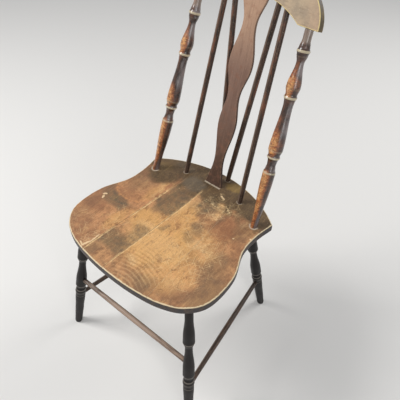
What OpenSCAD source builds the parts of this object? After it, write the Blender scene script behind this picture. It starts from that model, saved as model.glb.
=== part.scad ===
// Windsor side chair: a glued-up plank seat on four turned legs, with a back of two turned posts,
// four plain spindles and a waved splat under a bowed crest rail. Millimetres, +Z up, front towards -Y.
// The origin is on the floor, under the middle of the chair's whole depth.

/* [Seat] */
// Height of the seat's top face above the floor
seat_h = 440; // [360:1:530]
// Width of the seat at its widest
seat_w = 422; // [350:1:507]
// Depth of the seat from front edge to back edge
seat_d = 406; // [337:1:490]
// Width of the seat across its rear corners
seat_corner_w = 376; // [312:1:452]
// Width of the seat at its waist, ahead of the rear corners
seat_waist_w = 360; // [300:1:432]
// Thickness of the seat's square edge
seat_edge_t = 20; // [16:1:30]
// Depth of the bevel worked under the edge
seat_bevel_t = 8; // [5:1:14]
// Depth of the hollow worked in the top face
dish_depth = 3; // [1:0.5:5]
// Width of the hollow worked in the top face
dish_w = 300; // [240:1:340]
// Place of the glue joint beside the left board, at the front edge
joint_left_front_x = -92; // [-110:1:-60]
// Place of the glue joint beside the left board, at the back edge
joint_left_rear_x = -69; // [-74:1:-55]
// Place of the glue joint near the middle, at the front edge
joint_middle_front_x = -20; // [-40:1:20]
// Place of the glue joint near the middle, at the back edge
joint_middle_rear_x = -6; // [-8:1:8]
// Place of the glue joint beside the right board, at the front edge
joint_right_front_x = 104; // [50:1:110]
// Place of the glue joint beside the right board, at the back edge
joint_right_rear_x = 74; // [55:1:76]

/* [Legs] */
// Inset of a front leg's top from the seat's widest line
front_leg_inset = 47; // [36:1:60]
// Setback of a front leg's top from the seat's front edge
front_leg_setback = 70; // [58:1:90]
// Sideways splay of a front leg
front_splay_x = 55; // [20:1:70]
// Forward splay of a front leg
front_splay_y = 65; // [20:1:80]
// Inset of a back leg's top from the seat's rear corner
back_leg_inset = 63; // [50:1:76]
// Setback of a back leg's top from the seat's back edge
back_leg_setback = 69; // [57:1:83]
// Sideways splay of a back leg
back_splay_x = 40; // [15:1:60]
// Backward splay of a back leg
back_splay_y = 79; // [20:1:95]
// Radius of a foot
foot_r = 10.5; // [8.5:0.5:13]
// Depth of a round tenon in the seat
seat_tenon_l = 20; // [16:1:23]

/* [Stretchers] */
// Height of the front and back stretchers
cross_stretcher_z = 211; // [175:1:250]
// Height that the front stretcher's right end sits above its left end
front_stretcher_slant = 14; // [0:1:16]
// Height of the side stretchers
side_stretcher_z = 133; // [110:1:155]
// Radius of a stretcher at mid length
stretcher_r = 6.9; // [5.7:0.1:8.5]
// Radius of a stretcher where it enters a leg
stretcher_end_r = 6; // [5:0.1:7.2]

/* [Back] */
// Height of the crest rail's shoulders above the seat
back_h = 412; // [343:1:494]
// Rake of the back posts and the crest rail
back_rake = 18.6; // [8:0.1:22]
// Inset of a post's foot from the seat's rear corner
post_inset = 31; // [26:1:40]
// Setback of a post's foot from the seat's back edge
post_setback = 98; // [82:1:110]
// Distance by which each post leans inwards
post_lean_in = 24; // [0:1:30]
// Radius of a spindle
spindle_r = 6.3; // [5.3:0.1:7.5]
// Share of the way from an inner spindle to a post at which an outer spindle stands, on the seat
outer_spindle_foot_share = 0.5; // [0.42:0.01:0.58]
// Share of the way from an inner spindle to a post at which an outer spindle stands, at the crest rail
outer_spindle_top_share = 0.265; // [0.255:0.005:0.5]
// Setback of an outer spindle's foot from the seat's back edge
outer_spindle_setback = 57; // [48:1:68]
// Distance of an inner spindle's foot from the middle of the seat
inner_spindle_foot_x = 15.5; // [13:0.5:20]
// Clear width between an inner spindle and the splat where the splat is widest
spindle_gap = 0.5; // [0:0.5:6]
// Setback of an inner spindle's foot from the seat's back edge
inner_spindle_setback = 12; // [11:0.5:14]
// Width of the splat at its widest bulge
splat_w = 59; // [49:1:71]
// Width of the tongues at the splat's two ends
splat_tongue_w = 30; // [24:1:36]
// Thickness of the splat
splat_t = 8.5; // [7:0.5:10.5]
// Setback of the splat's foot from the seat's back edge
splat_setback = 45; // [38:1:54]
// Sideways offset of the splat from the middle of the seat
splat_offset = -4; // [-6:1:6]

/* [Crest rail] */
// Overhang of the crest rail past the centre line of each post
crest_overhang = 25; // [21:1:32]
// Flat shoulder of the crest rail inside the centre line of each post
crest_shoulder = 24; // [14:1:30]
// Height of the crest rail above its shoulders
crest_rise = 100; // [84:1:120]
// Thickness of the crest rail along its lower edge
crest_t = 17; // [16:0.5:21]
// Thickness of the crest rail along its top edge
crest_top_t = 12; // [9:0.5:14]
// Rise of the arch under the crest rail
arch_rise = 33; // [27:1:40]
// Bow of the crest rail between the posts
crest_bow = 12; // [6:0.5:16]

/* [Fit] */
// Radial gap of a tenon in its socket
tenon_gap = 0.1; // [0.05:0.05:0.3]
// Gap at the blind end of a socket
end_gap = 0.5; // [0.3:0.1:1]

/* [Hidden] */
$fn = 48;

paint_dark = [0.20, 0.15, 0.12];
paint_brown = [0.32, 0.20, 0.14];
worn_gold = [0.55, 0.40, 0.20];
worn_gold_pale = [0.60, 0.45, 0.24];
crest_grey = [0.45, 0.40, 0.32];

left = -1;
right = 1;
big = 1200;

// Overlap of two solids that are joined, and overrun of a cutter past the face it cuts
overlap = 6;
overrun = 16;

// Seat: the thickness, the bevel and the hollow, with places measured from the middle of its depth
seat_t = seat_edge_t + seat_bevel_t;
under_z = seat_h - seat_t;
bevel_inset = 15;
bevel_scale = [1 - 2 * bevel_inset / seat_w, 1 - 2 * bevel_inset / seat_d];
dish_r = (pow(dish_w / 2, 2) + pow(dish_depth, 2)) / (2 * dish_depth);
dish_y = -10;
front_y = -seat_d / 2;
rear_y = seat_d / 2;

// The sides of the seat boards, each as its place at the front edge and at the back edge
joint_left = [joint_left_front_x, joint_left_rear_x];
joint_middle = [joint_middle_front_x, joint_middle_rear_x];
joint_right = [joint_right_front_x, joint_right_rear_x];
outer_left = [-seat_w, -seat_w];
outer_right = [seat_w, seat_w];

// Legs: the axis runs from the seat's underside to the floor
front_leg_x = seat_w / 2 - front_leg_inset;
front_leg_y = front_y + front_leg_setback;
back_leg_x = seat_corner_w / 2 - back_leg_inset;
back_leg_y = rear_y - back_leg_setback;
leg_tenon_r = 9;

// Back: the crest rail's own frame starts between its shoulders and rises with the rake
post_foot_x = seat_corner_w / 2 - post_inset;
post_foot_y = rear_y - post_setback;
post_top_x = post_foot_x - post_lean_in;
post_tenon_r = 8;
post_top_tenon_r = 6;
spindle_tenon_r = 4.5;
crest_tenon_l = 15;
crest_half_w = post_top_x + crest_overhang;
arch_half_w = post_top_x - crest_shoulder;
crest_z = seat_h + back_h;
crest_y = post_foot_y + back_h * tan(back_rake);
bow_r = (pow(post_top_x, 2) + pow(crest_bow, 2)) / (2 * crest_bow);
arch_r = (pow(arch_half_w, 2) + pow(arch_rise, 2)) / (2 * arch_rise);

// Splat: it leans from its foot to the middle of the crest rail's lower edge
splat_tongue_l = 13;
splat_bulge = 0.685;
splat_foot = [splat_offset, rear_y - splat_setback, seat_h];
splat_top = crest_point(splat_offset, arch_height(splat_offset));
splat_l = norm(splat_top - splat_foot);
splat_rake = atan2(splat_top[1] - splat_foot[1], splat_top[2] - splat_foot[2]);

// Spindles: the inner ones lean outwards past the splat's widest bulge
spindle_pass_x = splat_w / 2 + abs(splat_offset) + spindle_gap + spindle_r;
inner_spindle_top_x = inner_spindle_foot_x + (spindle_pass_x - inner_spindle_foot_x) / splat_bulge;
outer_spindle_foot_x = between(inner_spindle_foot_x, post_foot_x, outer_spindle_foot_share);
outer_spindle_top_x = between(inner_spindle_top_x, post_top_x, outer_spindle_top_share);

// The frame's origin is half way between the front feet and the crest rail's back
chair_front_y = min(front_y, front_leg_y - front_splay_y - foot_r);
chair_rear_y = crest_point(0, crest_rise)[1] + (crest_top_t - crest_t / 2) * cos(back_rake);
chair_mid_y = (chair_front_y + chair_rear_y) / 2;

// Shares of a leg's length from the seat down, with the radius there
leg_turning = [
    [-0.02, 10.8], [0.015, 10.8], [0.035, 9.4], [0.12, 9.6], [0.25, 13.5], [0.293, 14],
    [0.302, 12.4], [0.33, 8.9], [0.35, 9], [0.51, 14.1], [0.565, 14.4], [0.573, 13],
    [0.595, 10.6], [0.615, 13.6], [0.635, 14.6], [0.655, 13.4], [0.664, 12.8], [0.672, 13.5],
    [0.682, 12.9], [0.69, 13.4], [0.8, foot_r + 1.5], [0.985, foot_r], [1.02, foot_r - 2]
];
// Shares of a post's length from the seat up, with the radius there
post_turning = [
    [-0.03, 8.5], [0.02, 8.5], [0.28, 13.8], [0.318, 14], [0.34, 11], [0.36, 9.7], [0.38, 10.4],
    [0.391, 11.6], [0.402, 14.5], [0.413, 12.8], [0.444, 15.8], [0.66, 10.2], [0.686, 11.2],
    [0.702, 13.9], [0.713, 12], [0.748, 14.8], [0.857, 7.9], [0.895, 11.5], [0.909, 13.5],
    [0.92, 11], [0.955, 8.5], [1.03, 8.6]
];
// Shares of the splat's length from the seat up, with the share of its widest bulge there
splat_wave = [
    [-0.05, 0.88], [0.155, 0.42], [0.37, 0.8], [0.52, 0.51], [splat_bulge, 1], [0.87, 0.53], [1.04, 1.12]
];
// Half the seat's outline from the middle of the front edge to the rear corner
seat_side = [
    [0, front_y],
    [0.345 * seat_w / 2, front_y + 0.01 * seat_d],
    [0.63 * seat_w / 2, front_y + 0.04 * seat_d],
    [0.85 * seat_w / 2, front_y + 0.1 * seat_d],
    [0.985 * seat_w / 2, front_y + 0.21 * seat_d],
    [0.985 * seat_w / 2, front_y + 0.4 * seat_d],
    [seat_waist_w / 2 + 2, front_y + 0.57 * seat_d],
    [seat_waist_w / 2, front_y + 0.71 * seat_d],
    [seat_corner_w / 2, front_y + 0.835 * seat_d]
];

// Steps of a smooth swell from one station to the next
function swell(a, b, n) = [
    for (i = [0 : n - 1])
        [a[0] + (b[0] - a[0]) * i / n, a[1] + (b[1] - a[1]) * (1 - cos(180 * i / n)) / 2]
];
// A turned or waved profile: stations given as shares of a length, joined by swells
function profile(stations, length) = [
    for (i = [0 : len(stations) - 2])
        each swell(
            [stations[i][0] * length, stations[i][1]],
            [stations[i + 1][0] * length, stations[i + 1][1]],
            swell_steps((stations[i + 1][0] - stations[i][0]) * length)
        ),
    [last(stations)[0] * length, last(stations)[1]]
];
function swell_steps(gap) = max(2, min(8, round(gap / 6)));
function between(a, b, share) = a + (b - a) * share;
function last(list) = list[len(list) - 1];
function reversed(list) = [for (i = [len(list) - 1 : -1 : 0]) list[i]];
function mirrored(list) = [for (p = list) [-p[0], p[1]]];

// A smooth curve through four knots, between the middle two
function blend(a, b, c, d, t) =
    0.5 * (2 * b + (c - a) * t + (2 * a - 5 * b + 4 * c - d) * t * t + (3 * b - a - 3 * c + d) * t * t * t);
function knot(list, i) =
    i < 0 ? [-list[-i][0], list[-i][1]] : i < len(list) ? list[i] : 2 * last(list) - list[len(list) - 2];
function side_curve(list, steps) = [
    for (i = [0 : len(list) - 2], s = [0 : steps - 1])
        blend(knot(list, i - 1), knot(list, i), knot(list, i + 1), knot(list, i + 2), s / steps)
];

// A point of the crest rail's middle surface, at a place across and a height above its shoulders
function crest_sag(x) = bow_r - sqrt(pow(bow_r, 2) - pow(x, 2));
function crest_point(x, v) =
    let (w = crest_bow - crest_sag(x))
    [
        x,
        crest_y + v * sin(back_rake) + w * cos(back_rake),
        crest_z + v * cos(back_rake) - w * sin(back_rake)
    ];
function arch_height(x) = arch_rise - (arch_r - sqrt(pow(arch_r, 2) - pow(x, 2)));

// The place across of a seat board's side, at a place along the seat's depth
function joint_x(joint, y) = between(joint[0], joint[1], (y - front_y) / seat_d);

// The centre line of each round piece, as its two ends
function front_leg_line(side) = [
    [side * front_leg_x, front_leg_y, under_z],
    [side * (front_leg_x + front_splay_x), front_leg_y - front_splay_y, 0]
];
function back_leg_line(side) = [
    [side * back_leg_x, back_leg_y, under_z],
    [side * (back_leg_x + back_splay_x), back_leg_y + back_splay_y, 0]
];
function at_height(line, z) = between(line[0], line[1], (line[0][2] - z) / (line[0][2] - line[1][2]));
function post_line(side) = [[side * post_foot_x, post_foot_y, seat_h], crest_point(side * post_top_x, 0)];
function spindle_line(side, foot_x, top_x, setback) =
    [[side * foot_x, rear_y - setback, seat_h], crest_point(side * top_x, arch_height(top_x))];
function outer_spindle_line(side) =
    spindle_line(side, outer_spindle_foot_x, outer_spindle_top_x, outer_spindle_setback);
function inner_spindle_line(side) =
    spindle_line(side, inner_spindle_foot_x, inner_spindle_top_x, inner_spindle_setback);
front_stretcher_line = [
    at_height(front_leg_line(left), cross_stretcher_z - front_stretcher_slant / 2),
    at_height(front_leg_line(right), cross_stretcher_z + front_stretcher_slant / 2)
];
back_stretcher_line = [for (side = [left, right]) at_height(back_leg_line(side), cross_stretcher_z)];
function side_stretcher_line(side) =
    [for (line = [front_leg_line(side), back_leg_line(side)]) at_height(line, side_stretcher_z)];

// Puts a piece modelled in the seat's own frame into the chair's frame
module in_chair() {
    translate([0, -chair_mid_y, 0]) children();
}

// Stands children, modelled along +Z, on the first end of a line, leaning untwisted to its other end
module along(line) {
    way = line[1] - line[0];
    turn = atan2(way[1], way[0]);
    translate(line[0])
        rotate([0, acos(way[2] / norm(way)), turn])
            rotate([0, 0, -turn])
                children();
}

module turned(stations, length) {
    outline = profile(stations, length);
    rotate_extrude()
        polygon(concat([[0, outline[0][0]]], [for (p = outline) [p[1], p[0]]], [[0, last(outline)[0]]]));
}

// A blind socket, or the tenon in it: a cylinder from one distance along a line to another
module peg(line, from, to, r) {
    along(line) translate([0, 0, from]) cylinder(r = r, h = to - from);
}

module above(z) {
    translate([-big / 2, -big / 2, z]) cube(big);
}

module below(z) {
    translate([-big / 2, -big / 2, z - big]) cube(big);
}

// Seat
module seat_outline() {
    side = side_curve(seat_side, 12);
    corner = last(seat_side);
    rear_rise = rear_y - corner[1];
    rear_r = (pow(corner[0], 2) + pow(rear_rise, 2)) / (2 * rear_rise);
    half_angle = asin(corner[0] / rear_r);
    steps = 20;
    rear = [
        for (i = [-steps : steps])
            let (a = half_angle * i / steps)
            [-rear_r * sin(a), rear_y - rear_r + rear_r * cos(a)]
    ];
    polygon(concat(side, rear, reversed(mirrored([for (i = [1 : len(side) - 1]) side[i]]))));
}

module seat_blank() {
    translate([0, 0, seat_h - seat_edge_t]) linear_extrude(seat_edge_t) seat_outline();
    translate([0, 0, seat_h - seat_edge_t])
        mirror([0, 0, 1])
            linear_extrude(seat_bevel_t, scale = bevel_scale, slices = 1)
                seat_outline();
}

module seat_hollow() {
    translate([0, dish_y, seat_h + dish_r - dish_depth]) sphere(r = dish_r, $fn = 240);
}

module seat_sockets() {
    depth = seat_tenon_l + end_gap;
    for (side = [left, right]) {
        peg(front_leg_line(side), -depth, overlap, leg_tenon_r + tenon_gap);
        peg(back_leg_line(side), -depth, overlap, leg_tenon_r + tenon_gap);
        peg(post_line(side), -depth, overlap, post_tenon_r + tenon_gap);
        peg(outer_spindle_line(side), -depth, overlap, spindle_tenon_r + tenon_gap);
        peg(inner_spindle_line(side), -depth, overlap, spindle_tenon_r + tenon_gap);
    }
    splat_board(tenon_gap) splat_tongue(-splat_tongue_l - end_gap, overlap, tenon_gap);
}

module board_strip(from, to) {
    near_y = front_y - overrun;
    far_y = rear_y + overrun;
    polygon([
        [joint_x(from, near_y), near_y], [joint_x(to, near_y), near_y],
        [joint_x(to, far_y), far_y], [joint_x(from, far_y), far_y]
    ]);
}

module seat_board(from, to) {
    difference() {
        intersection() {
            seat_blank();
            linear_extrude(seat_h + overrun) board_strip(from, to);
        }
        seat_hollow();
        seat_sockets();
    }
}

// Legs and stretchers
module leg(line, cross_line, cross_at, side_line, side_at) {
    length = norm(line[1] - line[0]);
    difference() {
        union() {
            difference() {
                along(line) turned(leg_turning, length);
                above(under_z);
            }
            peg(line, -seat_tenon_l, overlap, leg_tenon_r);
        }
        below(0);
        stretcher_socket(cross_line, cross_at);
        stretcher_socket(side_line, side_at);
    }
}

// The socket for a stretcher's end, blind at the leg's centre line; at is 0 for the first end
module stretcher_socket(line, at) {
    inward = at == 0 ? line : [line[1], line[0]];
    peg(inward, -end_gap, 2 * overrun, stretcher_end_r + tenon_gap);
}

module front_leg(side) {
    end = side == left ? 0 : 1;
    leg(front_leg_line(side), front_stretcher_line, end, side_stretcher_line(side), 0);
}

module back_leg(side) {
    end = side == left ? 0 : 1;
    leg(back_leg_line(side), back_stretcher_line, end, side_stretcher_line(side), 1);
}

module stretcher(line) {
    length = norm(line[1] - line[0]);
    socketed = 22;
    ends = [[0, stretcher_end_r], [socketed / length, stretcher_end_r]];
    middle = [[0.5, stretcher_r], [1 - socketed / length, stretcher_end_r], [1, stretcher_end_r]];
    along(line) turned(concat(ends, middle), length);
}

// Back
module crest_frame() {
    translate([0, crest_y, crest_z]) rotate([90 - back_rake, 0, 0]) children();
}

module crest_outline() {
    steps = 40;
    top = [for (i = [0 : steps]) [crest_half_w * cos(180 * i / steps), crest_rise * sin(180 * i / steps)]];
    difference() {
        polygon(top);
        translate([0, arch_rise - arch_r]) circle(r = arch_r, $fn = 180);
    }
}

// The crest rail's outline, run right through from front to back
module crest_prism() {
    crest_frame() linear_extrude(8 * crest_t, center = true) crest_outline();
}

// The bowed, tapering thickness that the crest rail is sawn from
module crest_bend() {
    inner_r = bow_r - crest_t / 2;
    crest_frame()
        translate([0, -overlap, bow_r - crest_bow])
            rotate([-90, 0, 0])
                rotate_extrude($fn = 240)
                    polygon([
                        [inner_r, 0], [inner_r + crest_t, 0],
                        [inner_r + crest_top_t, crest_rise + overrun], [inner_r, crest_rise + overrun]
                    ]);
}

module post(side) {
    line = post_line(side);
    length = norm(line[1] - line[0]);
    difference() {
        along(line) turned(post_turning, length);
        below(seat_h);
        crest_prism();
    }
    peg(line, -seat_tenon_l, overlap, post_tenon_r);
    peg(line, length - overlap, length + crest_tenon_l, post_top_tenon_r);
}

module spindle(line) {
    length = norm(line[1] - line[0]);
    peg(line, -seat_tenon_l, length + crest_tenon_l, spindle_tenon_r);
    difference() {
        peg(line, -overrun, length + overrun, spindle_r);
        below(seat_h);
        crest_prism();
    }
}

// Stands an outline drawn across and up on the splat's foot and gives it the splat's thickness
module splat_board(extra = 0) {
    t = splat_t + 2 * extra;
    translate(splat_foot)
        rotate([90 - splat_rake, 0, 0])
            translate([0, 0, -t / 2])
                linear_extrude(t)
                    children();
}

module splat_tongue(from, to, extra = 0) {
    translate([-splat_tongue_w / 2 - extra, from]) square([splat_tongue_w + 2 * extra, to - from]);
}

module splat() {
    edge = [for (p = profile(splat_wave, splat_l)) [p[1] * splat_w / 2, p[0]]];
    difference() {
        splat_board() polygon(concat(edge, reversed(mirrored(edge))));
        below(seat_h);
        crest_prism();
    }
    splat_board() splat_tongue(-splat_tongue_l, overlap);
    splat_board() splat_tongue(splat_l - overlap, splat_l + splat_tongue_l);
}

module crest_rail() {
    depth = crest_tenon_l + end_gap;
    difference() {
        intersection() {
            crest_prism();
            crest_bend();
        }
        for (side = [left, right]) {
            top_socket(post_line(side), depth, post_top_tenon_r);
            top_socket(outer_spindle_line(side), depth, spindle_tenon_r);
            top_socket(inner_spindle_line(side), depth, spindle_tenon_r);
        }
        splat_board(tenon_gap)
            splat_tongue(splat_l - overlap, splat_l + splat_tongue_l + end_gap, tenon_gap);
    }
}

module top_socket(line, depth, r) {
    length = norm(line[1] - line[0]);
    peg(line, length - overrun, length + depth, r + tenon_gap);
}

module seat_board_left() { color(worn_gold) in_chair() seat_board(outer_left, joint_left); }
module seat_board_mid_left() { color(worn_gold_pale) in_chair() seat_board(joint_left, joint_middle); }
module seat_board_mid_right() { color(worn_gold) in_chair() seat_board(joint_middle, joint_right); }
module seat_board_right() { color(worn_gold_pale) in_chair() seat_board(joint_right, outer_right); }
module front_left_leg() { color(paint_dark) in_chair() front_leg(left); }
module front_right_leg() { color(paint_dark) in_chair() front_leg(right); }
module back_left_leg() { color(paint_dark) in_chair() back_leg(left); }
module back_right_leg() { color(paint_dark) in_chair() back_leg(right); }
module front_stretcher() { color(paint_brown) in_chair() stretcher(front_stretcher_line); }
module back_stretcher() { color(paint_brown) in_chair() stretcher(back_stretcher_line); }
module left_stretcher() { color(paint_brown) in_chair() stretcher(side_stretcher_line(left)); }
module right_stretcher() { color(paint_brown) in_chair() stretcher(side_stretcher_line(right)); }
module left_post() { color(paint_dark) in_chair() post(left); }
module right_post() { color(paint_dark) in_chair() post(right); }
module left_outer_spindle() { color(paint_brown) in_chair() spindle(outer_spindle_line(left)); }
module left_inner_spindle() { color(paint_brown) in_chair() spindle(inner_spindle_line(left)); }
module right_inner_spindle() { color(paint_brown) in_chair() spindle(inner_spindle_line(right)); }
module right_outer_spindle() { color(paint_brown) in_chair() spindle(outer_spindle_line(right)); }
module splat_piece() { color(paint_brown) in_chair() splat(); }
module crest_rail_piece() { color(crest_grey) in_chair() crest_rail(); }

seat_board_left();
seat_board_mid_left();
seat_board_mid_right();
seat_board_right();
front_left_leg();
front_right_leg();
back_left_leg();
back_right_leg();
front_stretcher();
back_stretcher();
left_stretcher();
right_stretcher();
left_post();
right_post();
left_outer_spindle();
left_inner_spindle();
right_inner_spindle();
right_outer_spindle();
splat_piece();  // splat
crest_rail_piece();  // crest_rail
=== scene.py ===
"""Windsor side chair in a worn dark finish: its looks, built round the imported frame.

Metres, +Z up, front towards -Y. Pieces are modelled here, each in the place of the node that it replaces.
"""

from functools import reduce
from math import asin, cos, pi, radians, sin

import bpy
from mathutils import Matrix, Vector, noise


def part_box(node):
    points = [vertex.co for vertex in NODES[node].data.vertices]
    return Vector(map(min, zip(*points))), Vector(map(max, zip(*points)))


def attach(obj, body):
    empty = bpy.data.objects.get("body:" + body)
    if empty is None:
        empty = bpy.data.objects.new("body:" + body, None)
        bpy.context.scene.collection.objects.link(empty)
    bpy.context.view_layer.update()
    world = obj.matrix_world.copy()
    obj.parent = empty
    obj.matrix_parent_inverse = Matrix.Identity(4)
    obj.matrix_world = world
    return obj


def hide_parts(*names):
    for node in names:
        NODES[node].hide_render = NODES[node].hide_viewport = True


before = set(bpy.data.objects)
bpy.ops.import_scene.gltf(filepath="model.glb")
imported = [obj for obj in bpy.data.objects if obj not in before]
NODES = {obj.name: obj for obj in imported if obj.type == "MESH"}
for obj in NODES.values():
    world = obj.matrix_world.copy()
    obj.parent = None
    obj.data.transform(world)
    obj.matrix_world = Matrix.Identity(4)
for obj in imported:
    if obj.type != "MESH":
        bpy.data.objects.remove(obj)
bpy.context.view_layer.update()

MM = 0.001
CLOSE = 0.02 * MM  # two heights this near are the same
TOUCH = 0.05 * MM  # a point this near a face or rim lies on it
UP = Vector((0, 0, 1))


# ------------ camera, floor and light

def aim_camera():
    """Looks down on the seat from the chair's front right corner, at about standing eye height."""
    aim = Vector((0.0009, 0.0564, 0.4293))
    back = Vector((0.44389, -0.55663, 0.70223))
    distance = 1.0805
    roll = radians(1.68)
    data = bpy.data.cameras.new("camera")
    data.sensor_width = 36
    data.lens = 39.1
    camera = bpy.data.objects.new("camera", data)
    bpy.context.scene.collection.objects.link(camera)
    right = UP.cross(back).normalized()
    over = back.cross(right)
    turned_right = right * cos(roll) + over * sin(roll)
    turned_over = over * cos(roll) - right * sin(roll)
    camera.matrix_world = Matrix.Translation(aim + back * distance) @ Matrix(
        (turned_right, turned_over, back)
    ).transposed().to_4x4()
    bpy.context.scene.camera = camera


def colour(red, green, blue):
    """A screen colour of 0 to 255 a channel, as the linear colour that a shader takes."""
    def linear(level):
        level = level / 255
        return level / 12.92 if level <= 0.04045 else ((level + 0.055) / 1.055) ** 2.4
    return (linear(red), linear(green), linear(blue), 1)


FLOOR_COLOUR = colour(226, 224, 220)
BACKDROP_COLOUR = colour(214, 213, 210)
ROOM_COLOUR = colour(158, 160, 164)
FLOOR_SIZE = 14
FLOOR_DROP = 0.5 * MM
LIGHTS_AIM = Vector((0, 0, 0.45))


def lay_floor():
    bpy.ops.mesh.primitive_plane_add(size=FLOOR_SIZE, location=(0, 0, -FLOOR_DROP))
    floor = bpy.context.object
    floor.name = "floor"
    material = bpy.data.materials.new("floor_paper")
    material.use_nodes = True
    shader = material.node_tree.nodes["Principled BSDF"]
    shader.inputs["Base Color"].default_value = FLOOR_COLOUR
    shader.inputs["Roughness"].default_value = 0.9
    floor.data.materials.append(material)


def soft_light(name, place, size, power):
    """A square soft box that faces the seat, with its size in metres and its power in watts."""
    data = bpy.data.lights.new(name, "AREA")
    data.size = size
    data.energy = power
    light = bpy.data.objects.new(name, data)
    bpy.context.scene.collection.objects.link(light)
    light.location = place
    light.rotation_euler = (LIGHTS_AIM - Vector(place)).to_track_quat("-Z", "Y").to_euler()


def light_studio():
    """Three soft boxes, and a room that lights with one colour and is seen as the pale backdrop."""
    soft_light("key_light", (-1.9, -1.2, 2.6), 1.2, 70)
    soft_light("fill_light", (2.4, -1.6, 1.6), 1.4, 26)
    soft_light("back_light", (0.9, 2.4, 2.2), 1.3, 34)
    world = bpy.data.worlds.new("studio")
    world.use_nodes = True
    nodes, links = world.node_tree.nodes, world.node_tree.links
    path = nodes.new("ShaderNodeLightPath")
    seen = None
    for ray in ("Is Camera Ray", "Is Glossy Ray", "Is Transmission Ray"):
        if seen is None:
            seen = path.outputs[ray]
            continue
        either = nodes.new("ShaderNodeMath")
        either.operation = "MAXIMUM"
        links.new(seen, either.inputs[0])
        links.new(path.outputs[ray], either.inputs[1])
        seen = either.outputs[0]
    mix = nodes.new("ShaderNodeMix")
    mix.data_type = "RGBA"
    links.new(seen, mix.inputs["Factor"])
    mix.inputs["A"].default_value = ROOM_COLOUR
    mix.inputs["B"].default_value = BACKDROP_COLOUR
    links.new(mix.outputs["Result"], nodes["Background"].inputs["Color"])
    bpy.context.scene.world = world
    bpy.context.scene.view_settings.view_transform = "Standard"


# ------------ finishes

FLAT = 1e6


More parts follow.
